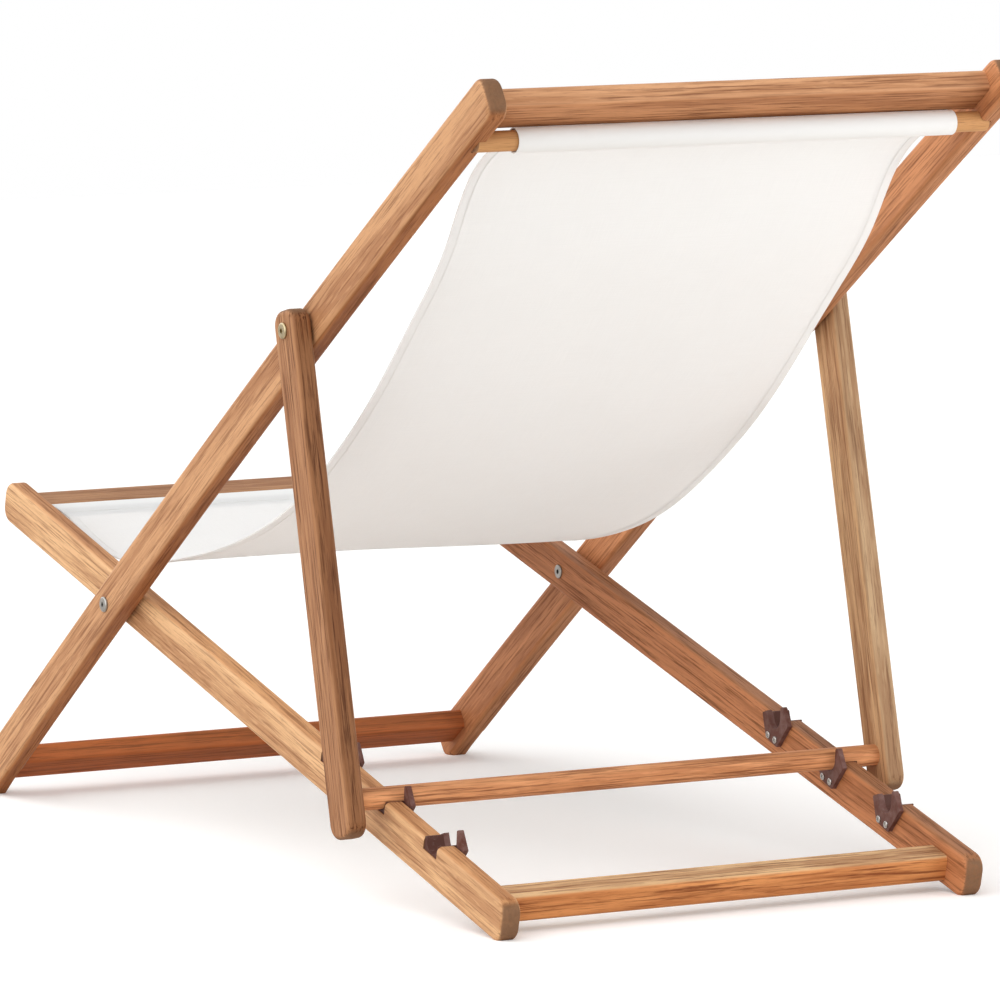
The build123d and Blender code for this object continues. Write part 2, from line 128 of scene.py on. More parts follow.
class SunChairStitching(bpy.types.PropertyGroup):
    """Sizes and colour of the sewing thread."""
    pitch: length("Pitch", 0.0038, "Distance from stitch to stitch")
    stitch: length("Stitch", 0.0029, "Length of one stitch")
    radius: length("Thread radius", 0.00025, "Radius of the sewing thread")
    thread: colour("Thread", (0.84, 0.83, 0.81), "Colour of the sewing thread")


class SunChairStage(bpy.types.PropertyGroup):
    """Light and floor of the studio."""
    floor: colour("Floor", (0.93, 0.93, 0.93), "Colour of the floor")
    bounce: colour("Bounce", (0.86, 0.82, 0.78), "Colour of the light that the floor throws back")
    lift: strength("Lift", 0.16, "How much lighter the floor's shadows look")
    key: strength("Key", 2.55, "Strength of the main lamp")
    front: strength("Front", 0.8, "Strength of the lamp in front of the chair")
    rear: strength("Rear", 10.0, "Power of the lamp at the rear right")
    sky: strength("Sky", 0.42, "Strength of the light from all round")


class SunChairSettings(bpy.types.PropertyGroup):
    """All of the chair's settings."""
    timber: PointerProperty(type=SunChairTimber)
    fittings: PointerProperty(type=SunChairFittings)
    sling: PointerProperty(type=SunChairSling)
    stitching: PointerProperty(type=SunChairStitching)
    stage: PointerProperty(type=SunChairStage)


# Node trees
def add_node(tree, kind, inputs=None, **settings):
    """Adds a node, sets its properties, and links or sets its inputs."""
    made = tree.nodes.new(kind)
    for name, value in settings.items():
        setattr(made, name, value)
    for key, value in (inputs or {}).items():
        if isinstance(value, bpy.types.NodeSocket):
            tree.links.new(value, made.inputs[key])
        else:
            made.inputs[key].default_value = value
    return made


def calc(tree, operation, first, second=0.0, third=0.0):
    """One Math node's result."""
    made = add_node(tree, "ShaderNodeMath", {0: first, 1: second, 2: third}, operation=operation)
    return made.outputs[0]


def ramp(tree, value, low, high, to_low=0.0, to_high=1.0):
    """A smooth step from to_low to to_high."""
    made = add_node(tree, "ShaderNodeMapRange", {0: value, 1: low, 2: high, 3: to_low, 4: to_high},
                    interpolation_type="SMOOTHSTEP")
    return made.outputs[0]


def blend_colour(tree, factor, first, second, mode="MIX"):
    """A mix of two colours."""
    made = add_node(tree, "ShaderNodeMix", {0: factor, 6: first, 7: second},
                    data_type="RGBA", blend_type=mode)
    return made.outputs[2]


def noise(tree, point, scale, detail=2.0, roughness=0.5, distortion=0.0):
    """Noise between 0 and 1."""
    made = add_node(tree, "ShaderNodeTexNoise", {
        "Vector": point, "Scale": scale, "Detail": detail,
        "Roughness": roughness, "Distortion": distortion,
    })
    return made.outputs[0]


def point_of(tree, x, y, z):
    """A vector from three values."""
    return add_node(tree, "ShaderNodeCombineXYZ", {0: x, 1: y, 2: z}).outputs[0]


def new_group(name, inputs, outputs):
    """A shader node group with named sockets; returns its tree and sockets."""
    tree = bpy.data.node_groups.new(name, "ShaderNodeTree")
    for label, kind in inputs:
        tree.interface.new_socket(label, in_out="INPUT", socket_type="NodeSocket" + kind)
    for label, kind in outputs:
        tree.interface.new_socket(label, in_out="OUTPUT", socket_type="NodeSocket" + kind)
    source = tree.nodes.new("NodeGroupInput").outputs
    target = tree.nodes.new("NodeGroupOutput").inputs
    return tree, source, target


def shared_group(name, build):
    """The group of that name, built the first time it is asked for."""
    return bpy.data.node_groups.get(name) or build(name)


# How far in from a member's edge its painted highlight starts, and where it is full
HIGHLIGHT_START = 0.0055
HIGHLIGHT_FULL = 0.001


def by_edge(tree, place, half):
    """A mask that rises close to a member's edge."""
    past = calc(tree, "SUBTRACT", calc(tree, "ABSOLUTE", place), half)
    return ramp(tree, past, -HIGHLIGHT_START, -HIGHLIGHT_FULL)


def build_grain(name):
    """Oiled hardwood on a member's own lines: x along the grain, y across, z through."""
    inputs = [("Place", "Vector"), ("Seed", "Float"), ("Bow", "Float"), ("Half Width", "Float"),
              ("Half Depth", "Float"), ("End Grain", "Float"), ("Streaks", "Float"),
              ("Pale", "Color"), ("Warm", "Color"), ("Deep", "Color"), ("End", "Color")]
    outputs = [("Color", "Color"), ("Roughness", "Float"), ("Height", "Float")]
    tree, use, give = new_group(name, inputs, outputs)
    place = add_node(tree, "ShaderNodeSeparateXYZ", {0: use["Place"]}).outputs
    run, depth = place[0], place[2]
    across = calc(tree, "MULTIPLY_ADD", calc(tree, "MULTIPLY", run, run), use["Bow"], place[1])
    seed = use["Seed"]
    shift_y = calc(tree, "MULTIPLY_ADD", seed, 1.9, across)
    shift_z = calc(tree, "MULTIPLY_ADD", seed, 2.3, depth)

    def fibre(stretch, scale, detail, roughness, distortion=0.0):
        """Noise drawn out along the grain."""
        shift_x = calc(tree, "MULTIPLY_ADD", run, stretch, seed)
        return noise(tree, point_of(tree, shift_x, shift_y, shift_z), scale, detail, roughness, distortion)

    bands = fibre(0.09, 34.0, 2.0, 0.5, 0.5)
    figure = fibre(0.05, 120.0, 2.0, 0.55, 0.8)
    lines = fibre(0.028, 480.0, 4.0, 0.62, 0.2)
    pores = fibre(0.055, 1500.0, 2.0, 0.5)
    flecks = fibre(0.12, 260.0, 1.0, 0.5)
    tone = calc(tree, "ADD", calc(tree, "MULTIPLY", bands, 0.55), calc(tree, "MULTIPLY", figure, 0.45))
    streak = calc(tree, "MULTIPLY", ramp(tree, lines, 0.48, 0.66), use["Streaks"])
    pore = ramp(tree, pores, 0.58, 0.72)
    shade = blend_colour(tree, ramp(tree, tone, 0.4, 0.6), use["Pale"], use["Warm"])
    fleck = calc(tree, "MULTIPLY", ramp(tree, flecks, 0.54, 0.68), 0.45)
    shade = blend_colour(tree, fleck, shade, use["Pale"])
    shade = blend_colour(tree, calc(tree, "MULTIPLY", streak, 0.7), shade, use["Deep"])
    shade = blend_colour(tree, calc(tree, "MULTIPLY", pore, 0.4), shade, use["Deep"])
    side = by_edge(tree, across, use["Half Width"])
    face = by_edge(tree, depth, use["Half Depth"])
    edge = calc(tree, "MULTIPLY", side, face)
    # Painted highlight: the rounded edges shade towards the pale wood, more strongly where the broad bands
    # rise
    painted_edge_highlight = calc(tree, "MULTIPLY", edge, ramp(tree, bands, 0.3, 0.6, 0.15, 0.5))
    shade = blend_colour(tree, painted_edge_highlight, shade, use["Pale"])
    sawn_point = point_of(tree, calc(tree, "MULTIPLY_ADD", run, 0.2, seed), shift_y, shift_z)
    sawn = noise(tree, sawn_point, 1500.0, 3.0, 0.6)
    rings = noise(tree, sawn_point, 160.0, 1.0, 0.5, 1.0)
    sawn_colour = blend_colour(tree, ramp(tree, sawn, 0.45, 0.75, 0.0, 0.45), use["End"], use["Deep"])
    sawn_colour = blend_colour(tree, ramp(tree, rings, 0.4, 0.65, 0.0, 0.15), sawn_colour, use["Warm"])
    shade = blend_colour(tree, use["End Grain"], shade, sawn_colour)
    tree.links.new(shade, give["Color"])
    rough = calc(tree, "MULTIPLY_ADD", streak, 0.16, 0.54)
    rough = calc(tree, "MULTIPLY_ADD", use["End Grain"], 0.2, rough)
    rough = calc(tree, "MULTIPLY_ADD", edge, -0.05, rough)
    tree.links.new(rough, give["Roughness"])
    height = calc(tree, "MULTIPLY_ADD", streak, -0.5, 1.0)
    height = calc(tree, "MULTIPLY_ADD", pore, -0.5, height)
    tree.links.new(height, give["Height"])
    return tree


def build_wear(name):
    """Fine handling marks: a cloudy mask, a scuff mask and a height."""
    inputs = [("Place", "Vector"), ("Scale", "Float"), ("Scuffs", "Float")]
    outputs = [("Cloud", "Float"), ("Scuff", "Float"), ("Height", "Float")]
    tree, use, give = new_group(name, inputs, outputs)
    cloud = noise(tree, use["Place"], use["Scale"], 3.0, 0.6)
    grit = noise(tree, use["Place"], calc(tree, "MULTIPLY", use["Scale"], 9.0), 2.0, 0.5)
    scratch = noise(tree, use["Place"], calc(tree, "MULTIPLY", use["Scale"], 2.5), 4.0, 0.7, 1.5)
    tree.links.new(cloud, give["Cloud"])
    tree.links.new(calc(tree, "MULTIPLY", ramp(tree, scratch, 0.55, 0.7), use["Scuffs"]), give["Scuff"])
    tree.links.new(calc(tree, "ADD", grit, calc(tree, "MULTIPLY", cloud, 0.5)), give["Height"])
    return tree


# Slubs of the yarn: how much longer than wide they are, and their scale
SLUB_STRETCH = 60.0
SLUB_SCALE = 22.0


def build_weave(name):
    """Plain weave on a flat cloth's own metres: thread height and slub shade."""
    inputs = [("Cloth", "Vector"), ("Pitch", "Float")]
    outputs = [("Height", "Float"), ("Slub", "Float"), ("Gap", "Float")]
    tree, use, give = new_group(name, inputs, outputs)
    place = add_node(tree, "ShaderNodeSeparateXYZ", {0: use["Cloth"]}).outputs
    turn = calc(tree, "DIVIDE", pi, use["Pitch"])
    weft = calc(tree, "SINE", calc(tree, "MULTIPLY", place[0], turn))
    warp = calc(tree, "SINE", calc(tree, "MULTIPLY", place[1], turn))
    over = calc(tree, "GREATER_THAN", calc(tree, "MULTIPLY", weft, warp), 0.0)
    high = calc(tree, "ABSOLUTE", weft)
    low = calc(tree, "ABSOLUTE", warp)
    either = calc(tree, "MULTIPLY_ADD", calc(tree, "SUBTRACT", high, low), over, low)
    tree.links.new(either, give["Height"])
    fine_x = calc(tree, "MULTIPLY", place[0], SLUB_STRETCH)
    fine_y = calc(tree, "MULTIPLY", place[1], SLUB_STRETCH)
    warp_slub = noise(tree, point_of(tree, fine_x, place[1], 0.0), SLUB_SCALE, 3.0, 0.6)
    weft_slub = noise(tree, point_of(tree, place[0], fine_y, 0.0), SLUB_SCALE, 3.0, 0.6)
    both = calc(tree, "ADD", warp_slub, weft_slub)
    tree.links.new(calc(tree, "MULTIPLY", both, 0.5), give["Slub"])
    tree.links.new(ramp(tree, either, 0.05, 0.4, 1.0, 0.0), give["Gap"])
    return tree


def new_material(name, **constants):
    """A material with a Principled BSDF whose plain values are set on its sockets."""
    made = bpy.data.materials.new(name)
    made.use_nodes = True
    tree = made.node_tree
    shader = tree.nodes["Principled BSDF"]
    for label, value in constants.items():
        shader.inputs[label.replace("_", " ")].default_value = value
    return made, tree, shader


def bump(tree, shader, height, strength, distance):
    """Feeds a height to the shader's normal."""
    made = add_node(tree, "ShaderNodeBump", {"Strength": strength, "Distance": distance, "Height": height})
    tree.links.new(made.outputs[0], shader.inputs["Normal"])


def facing(tree, normal, axis, low, high):
    """A mask of the faces that look along an axis, either way."""
    dot = add_node(tree, "ShaderNodeVectorMath", {0: normal, 1: axis}, operation="DOT_PRODUCT")
    return ramp(tree, calc(tree, "ABSOLUTE", dot.outputs["Value"]), low, high)


def solid(value):
    """A colour with alpha, for a colour socket."""
    return (value[0], value[1], value[2], 1.0)


def between(first, second, share):
    """A colour part of the way from one to another."""
    return tuple(a + (b - a) * share for a, b in zip(first, second))


def darker(value, share):
    """The same colour, scaled."""
    return tuple(v * share for v in value)


def dress(node, material):
    """Gives a CAD node its material."""
    mesh = frame["nodes"][node].data
    mesh.materials.clear()
    mesh.materials.append(material)


# Timber members: node, kind of line, seed, lean to the red wood, brightness, strength of the streaks,
# and for the narrow faces a painted shade (a painted light above 1): how much of their colour they keep and
# how cool it is
MEMBERS = [
    ("seat_rail_left", "seat", 1.3, -0.50, 1.11, 0.85, 0.92, 0.87),
    ("seat_rail_right", "seat", 5.1, 0.68, 1.08, 1.20, 0.74, 1.09),
    ("back_rail_left", "back", 8.7, -0.05, 0.98, 0.85, 0.68, 0.74),
    ("back_rail_right", "back", 3.9, 0.55, 1.12, 1.00, 0.92, 1.06),
    ("prop_left", "prop", 11.2, 0.22, 0.755, 1.35, 0.67, 0.89),
    ("prop_right", "prop", 14.6, -0.50, 0.93, 0.95, 0.92, 1.12),
    ("top_crossbar", "cross_back", 17.5, 0.35, 0.99, 1.10, 1.30, 1.15),
    ("front_stretcher", "cross_back", 20.3, 1.20, 1.08, 1.00, 1.08, 1.07),
    ("seat_front_crossbar", "cross_seat", 23.8, 0.15, 0.70, 0.60, 1.00, 1.00),
    ("seat_rear_stretcher", "cross_seat", 26.4, -0.75, 1.06, 1.20, 1.02, 0.66),
    ("prop_bar", "cross_seat", 29.9, 0.30, 1.27, 1.20, 1.15, 0.98),
    ("front_sling_dowel", "dowel", 33.1, 0.00, 1.00, 0.35, 1.00, 1.00),
    ("top_sling_dowel", "dowel", 36.7, 0.00, 1.00, 0.35, 1.00, 1.00),
]
LINES = {
    "seat": (SEAT_TILT, PIVOT, 0.0),
    "back": (BACK_TILT, PIVOT, BACK_BOW),
    "prop": (PROP_TILT, PROP_PIVOT, 0.0),
    "cross_back": (BACK_TILT, None, 0.0),
    "cross_seat": (SEAT_TILT, None, 0.0),
    "dowel": (0.0, None, 0.0),
}


def member_frame(node, kind):
    """Turn, origin and half sizes of a member's own lines: x along its grain."""
    tilt, origin, bow = LINES[kind]
    run = Vector((0.0, cos(tilt), sin(tilt)))
    rise = Vector((0.0, -sin(tilt), cos(tilt)))
    across = Vector((1.0, 0.0, 0.0))
    low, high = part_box(node)
    middle = (low + high) / 2
    if origin is None:
        axes = (across, run, rise)
        start = middle
    else:
        axes = (run, rise, across)
        start = Vector((middle.x, origin.y, origin.z))
    turn = Matrix(axes).transposed()
    points = np.array([v.co for v in frame["nodes"][node].data.vertices]) - np.array(start)
    local = points @ np.array(turn)
    local[:, 1] += bow * local[:, 0] ** 2
    half = np.abs(local[:, 1:]).max(axis=0)
    return turn, start, half, bow


class SUNCHAIR_OT_timber(bpy.types.Operator):
    """Gives every rail, crossbar, prop and dowel its own grain"""
    bl_idname = "sun_chair.timber"
    bl_label = "Finish the timber"

    def execute(self, context):
        wood = context.scene.sun_chair.timber
        grain = shared_group("Oiled hardwood grain", build_grain)
        for node, kind, seed, red, bright, streaks, narrow, cool in MEMBERS:
            turn, start, half, bow = member_frame(node, kind)
            pale = between(wood.pale, darker(wood.red, 1.1), red)
            warm = between(wood.warm, darker(wood.red, 0.8), red)
            if kind == "dowel":
                pale = wood.dowel
                warm = between(wood.dowel, wood.warm, 0.35)
            made, tree, shader = new_material("Timber " + node.replace("_", " "), Specular_IOR_Level=0.2)
            coords = add_node(tree, "ShaderNodeTexCoord").outputs
            place = add_node(tree, "ShaderNodeMapping", {
                "Vector": coords["Object"], "Location": start, "Rotation": turn.to_euler(),
            }, vector_type="TEXTURE").outputs[0]
            sawn = facing(tree, coords["Normal"], turn.col[0], 0.4, 0.8)
            narrow_shade_mask = facing(tree, coords["Normal"], turn.col[1], 0.5, 0.9)
            finish = add_node(tree, "ShaderNodeGroup", {
                "Place": place, "Seed": seed, "Bow": bow, "Half Width": half[0], "Half Depth": half[1],
                "End Grain": sawn, "Streaks": streaks,
                "Pale": solid(darker(pale, bright)), "Warm": solid(darker(warm, bright)),
                "Deep": solid(darker(wood.deep, bright)), "End": solid(wood.end),
            }, node_tree=grain).outputs
            # Painted shade and light on the narrow faces: their colour is scaled by the member's own
            # factors
            painted_narrow_shade = solid((narrow, narrow * cool, narrow * cool ** 2))
            shade = blend_colour(tree, narrow_shade_mask, finish["Color"], painted_narrow_shade, "MULTIPLY")
            tree.links.new(shade, shader.inputs["Base Color"])
            tree.links.new(finish["Roughness"], shader.inputs["Roughness"])
            bump(tree, shader, finish["Height"], 0.35, 0.0005)
            dress(node, made)
        return {"FINISHED"}


# Fittings: start of the nodes' names, finish, metallic, roughness, wear scale, scuffs
FITTINGS = [
    ("notch_bracket", "plastic", 0.0, 0.46, 90.0, 0.5),
    ("bracket_screw", "zinc", 1.0, 0.24, 260.0, 0.6),
    ("scissor_bolt", "steel", 1.0, 0.30, 200.0, 0.7),
    ("scissor_nut", "steel", 1.0, 0.32, 200.0, 0.7),
    ("scissor_washer", "steel", 1.0, 0.38, 200.0, 0.8),
    ("prop_bolt", "brass", 1.0, 0.30, 200.0, 0.7),
    ("prop_nut", "steel", 1.0, 0.32, 200.0, 0.7),
    ("prop_washer", "steel", 1.0, 0.38, 200.0, 0.8),
]
# How far from the chair's middle the brackets' pockets start, which get a painted shade, and the width of
# that step
POCKET_FROM = 0.2345
POCKET_STEP = 0.001
METAL_SPECULAR = 0.5
PLASTIC_SPECULAR = 0.15


class SUNCHAIR_OT_fittings(bpy.types.Operator):
    """Finishes the brackets, screws, bolts, nuts and washers"""
    bl_idname = "sun_chair.fittings"
    bl_label = "Finish the fittings"

    def execute(self, context):
        colours = context.scene.sun_chair.fittings
        wear = shared_group("Handling wear", build_wear)
        for start, finish, metal, rough, scale, scuffs in FITTINGS:
            base = getattr(colours, finish)
            label = start.replace("_", " ").capitalize() + " " + finish
            specular = METAL_SPECULAR if metal else PLASTIC_SPECULAR
            made, tree, shader = new_material(label, Metallic=metal, Specular_IOR_Level=specular)
            place = add_node(tree, "ShaderNodeTexCoord").outputs["Object"]
            marks = add_node(tree, "ShaderNodeGroup", {"Place": place, "Scale": scale, "Scuffs": scuffs},
                             node_tree=wear).outputs
            shade = blend_colour(tree, ramp(tree, marks["Cloud"], 0.3, 0.7), solid(darker(base, 0.82)),
                                 solid(between(base, WHITE, 0.05)))
            # Painted shade in the brackets' pockets: the plastic is darker past the rails' inner faces
            if finish == "plastic":
                side = add_node(tree, "ShaderNodeSeparateXYZ", {0: place}).outputs[0]
                inside = ramp(tree, calc(tree, "ABSOLUTE", side), POCKET_FROM, POCKET_FROM + POCKET_STEP)
                shade = blend_colour(tree, inside, shade, solid(darker(base, 0.6)))
            shade = blend_colour(tree, calc(tree, "MULTIPLY", marks["Scuff"], 0.35), shade,
                                 solid(between(base, (0.8, 0.76, 0.72), 0.35)))
            tree.links.new(shade, shader.inputs["Base Color"])
            level = calc(tree, "MULTIPLY_ADD", marks["Cloud"], 0.18, rough - 0.09)
            level = calc(tree, "MULTIPLY_ADD", marks["Scuff"], 0.15, level)
            tree.links.new(level, shader.inputs["Roughness"])
            bump(tree, shader, marks["Height"], 0.2, 0.0003)
            for node in frame["nodes"]:
                if node.startswith(start):
                    dress(node, made)
        return {"FINISHED"}


# Sling: one ribbon of canvas that runs round both dowels; first the steps of its lines
FINE_POINTS = 3000
PANEL_STEP = 0.005
LAP_STEP = 0.002
WALL_STEP = 0.003
TURN_POINTS = 26
# How far a lap's middle lies under the panel's, in thicknesses of cloth
LAP_DROP = 1.25
# Puckers: waves across the cloth with phases and heights, then their size, rise and fade
PUCKERS = ((251.0, 0.4, 1.0), (383.0, 2.1, 0.7), (617.0, 4.4, 0.5))
PUCKER_SIZE = 0.6
PUCKER_RISE = 0.012
PUCKER_FADE = 0.045
RIM_FADE = 0.018
# Side hems: width of their step, its height in thicknesses of cloth, and the length of their start
FOLD_STEP = 0.0007
FOLD_HEIGHT = 0.35
FOLD_START = 0.004
# Leans along the panel: power of its share, power of the rest, and the value that they reach
TWIST_HUMP = (4, 0.9, 0.097)
DIP_HUMP = (24, 3.2, 0.882 ** 24 * 0.118 ** 3.2)
BACK_HUMP = (2, 4, 0.022)
BACK_STILL = 0.3
# Share of the panel at each end over which it draws in
DRAW_SHARE = 0.2
# Lengths by the hem tubes over which the canvas starts to let light through, and by the laps
THIN_FROM = 0.008
THIN_TO = 0.02
LAP_FADE = 0.01


def side_middle(node):
    """Middle of a CAD node in the side view."""
    low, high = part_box(node)
    middle = (low + high) / 2
    return np.array((middle.y, middle.z))


def along(tilt):
    """Side-view directions along a tilted rail and up from it."""
    return np.array((cos(tilt), sin(tilt))), np.array((-sin(tilt), cos(tilt)))


def smooth_line(points, step):
    """Even points on a natural cubic spline through a side-view line."""
    points = np.array(points)
    knots = np.concatenate(([0.0], np.cumsum(np.linalg.norm(np.diff(points, axis=0), axis=1))))
    gaps = np.diff(knots)
    size = len(points)
    matrix = np.eye(size)
    right = np.zeros((size, 2))
    for i in range(1, size - 1):
        matrix[i, i - 1:i + 2] = gaps[i - 1], 2 * (gaps[i - 1] + gaps[i]), gaps[i]
        right[i] = 6 * ((points[i + 1] - points[i]) / gaps[i] - (points[i] - points[i - 1]) / gaps[i - 1])
    bends = np.linalg.solve(matrix, right)
    fine = np.linspace(0.0, knots[-1], FINE_POINTS)
    i = np.clip(np.searchsorted(knots, fine) - 1, 0, size - 2)
    a = (knots[i + 1] - fine)[:, None]
    b = (fine - knots[i])[:, None]
    h = gaps[i][:, None]
    line = (bends[i] * a ** 3 + bends[i + 1] * b ** 3) / (6 * h)
    line += (points[i] / h - bends[i] * h / 6) * a + (points[i + 1] / h - bends[i + 1] * h / 6) * b
    return even_points(line, step)


def distances(line):
    """Length run up to each point of a line."""
    return np.concatenate(([0.0], np.cumsum(np.linalg.norm(np.diff(line, axis=0), axis=1))))


def even_points(line, step):
    """The same line in even steps."""
    run = distances(line)
    marks = np.linspace(0.0, run[-1], max(2, round(run[-1] / step) + 1))
    return np.column_stack([np.interp(marks, run, line[:, k]) for k in (0, 1)])


def upward(line):
    """Unit normals of a side-view line, up where it runs to the front."""
    slope = np.gradient(line, axis=0)
    slope /= np.linalg.norm(slope, axis=1)[:, None]
    return np.column_stack((slope[:, 1], -slope[:, 0]))


def hem_points(centre, away, up, panel, sling):
    """Lap, wall and turn of one hem, from the lap's cut edge to the panel's first point."""
    run = distances(panel)
    normal = upward(panel)
    if (normal[0] @ up) < 0:
        normal = -normal
    lap = []
    for mark in np.arange(sling.hem_reach + sling.hem_lap, sling.hem_reach - 1e-6, -LAP_STEP):
        at = np.array([np.interp(mark, run, panel[:, k]) for k in (0, 1)])
        face = np.array([np.interp(mark, run, normal[:, k]) for k in (0, 1)])
        lap.append(at - face * sling.thickness * LAP_DROP)
    seam = np.array(((lap[-1] - centre) @ away, (lap[-1] - centre) @ up))
    reach = np.linalg.norm(seam)
    touch = atan2(seam[1], seam[0]) + acos(PANEL_R / reach)
    turn = np.linspace(touch, 2.5 * pi, TURN_POINTS)[:-1]
    arc = PANEL_R * (np.cos(turn)[:, None] * away + np.sin(turn)[:, None] * up) + centre
    wall = even_points(np.array([lap[-1], arc[0]]), WALL_STEP)[1:-1]
    return np.array(lap), np.concatenate((wall, arc))


def hump(share, rise, fall, peak):
    """A hump along the panel, about 1 at its highest."""
    return share ** rise * (1 - share) ** fall / peak


class Cloth:
    """The sling's ribbon: side-view points, normals, lengths and marks for its hems."""

    def __init__(self, sling):
        back, back_up = along(BACK_TILT)
        seat, seat_up = along(SEAT_TILT)
        top = side_middle("top_sling_dowel")
        front = side_middle("front_sling_dowel")
        leave_top = top + PANEL_R * back_up
        leave_front = front + PANEL_R * seat_up
        start = leave_top + TUCK * back
        end = leave_front - TUCK * seat
        span = end - start
        drop = np.array((-span[1], span[0])) / np.linalg.norm(span) * SAG
        points = [leave_top, leave_top - TOP_RUN * back]
        points += [start + t * span + d * drop for t, d in HANG]
        points += [leave_front + FRONT_RUN * seat, leave_front]
        panel = smooth_line(points, PANEL_STEP)
        lap_top, loop_top = hem_points(top, back, back_up, panel, sling)
        lap_front, loop_front = hem_points(front, -seat, seat_up, panel[::-1], sling)
        self.line = np.concatenate((lap_top, loop_top, panel, loop_front[::-1], lap_front[::-1]))
        self.normal = upward(self.line)
        self.run = distances(self.line)
        self.panel_from = self.run[len(lap_top) + len(loop_top)]
        self.panel_to = self.run[len(lap_top) + len(loop_top) + len(panel) - 1]
        self.sling = sling
        self.half = sling.width / 2

    def share(self, run):
        """How far along the hanging panel a length is, from 0 to 1."""
        return np.clip((run - self.panel_from) / (self.panel_to - self.panel_from), 0.0, 1.0)

    def swell(self, run, x):
        """Puckers by the seams, a slow wave in the panel and a slack wave at its edges."""
        sling = self.sling
        share = self.share(run)
        size = self.panel_to - self.panel_from
        near = np.minimum(share, 1 - share) * size - sling.hem_reach
        pucker = sum(height * np.sin(x * rate + phase) for rate, phase, height in PUCKERS)
        fade = np.minimum(near / PUCKER_RISE, 1.0) * np.exp(-near / PUCKER_FADE)
        pucker *= np.where(near > 0, fade, 0.0)
        slow = np.sin(x * 17.0 + 0.9) * np.sin(share * pi) * 1.6
        slow += np.sin(x * 9.0 - 0.6 + share * 5.0) * np.sin(share * 2 * pi) * 0.9
        rim = np.exp((np.abs(x) - self.half) / RIM_FADE) * np.sin(share * 31.0 + np.sign(x) * 1.3)
        rim *= np.sin(share * pi)
        return sling.ripple * (pucker * PUCKER_SIZE + slow + rim)

    def hem_layer(self, run, x):
        """Extra thickness on the rear face where the side hem is folded over."""
        sling = self.sling
        inset = self.half - np.abs(x)
        inside = np.clip((sling.side_hem + FOLD_STEP - inset) / FOLD_STEP, 0.0, 1.0)
        past = sling.hem_reach + sling.hem_lap
        reach = np.minimum(run - self.panel_from, self.panel_to - run) - past
        return sling.thickness * FOLD_HEIGHT * inside * np.clip(reach / FOLD_START, 0.0, 1.0)

    def mate(self, run):
        """Length on the panel that a lap or a tube's wall lies under, or the same; and its facing."""
        past = self.sling.hem_reach + self.sling.hem_lap
        left = self.run[-1] - run
        over = np.where(run < past, self.panel_from + past - run, run)
        over = np.where(left < past, self.panel_to - past + left, over)
        return over, np.where(np.minimum(run, left) < past, -1.0, 1.0)

    def surface(self, run, x, face):
        """Points of the cloth at a length and a side place; face is 1 for the sitter's side."""
        sling = self.sling
        at = [np.interp(run, self.run, self.line[:, k]) for k in (0, 1)]
        up = [np.interp(run, self.run, self.normal[:, k]) for k in (0, 1)]
        over, turned = self.mate(run)
        off = self.swell(over, x) * turned + face * sling.thickness / 2
        off = off - np.where(face < 0, self.hem_layer(run, x), 0.0)
        share = self.share(over)
        side = x / self.half
        lean = sling.twist * side * hump(share, *TWIST_HUMP)
        lean -= sling.front_dip * side * hump(share, *DIP_HUMP)
        lean += sling.back_twist * (BACK_STILL - side) * hump(share, *BACK_HUMP)
        drawn = np.clip(np.minimum(share, 1 - share) / DRAW_SHARE, 0.0, 1.0)
        narrow = sling.draw_in / sling.width * drawn
        y = at[0] + up[0] * off
        z = at[1] + up[1] * off + lean
        return np.stack((x * (1 - narrow) + sling.side_shift, y, z), axis=-1)


def new_object(name, mesh):
    """A piece at the origin, in the scene."""
    made = bpy.data.objects.new(name, mesh)
    bpy.context.scene.collection.objects.link(made)
    return made


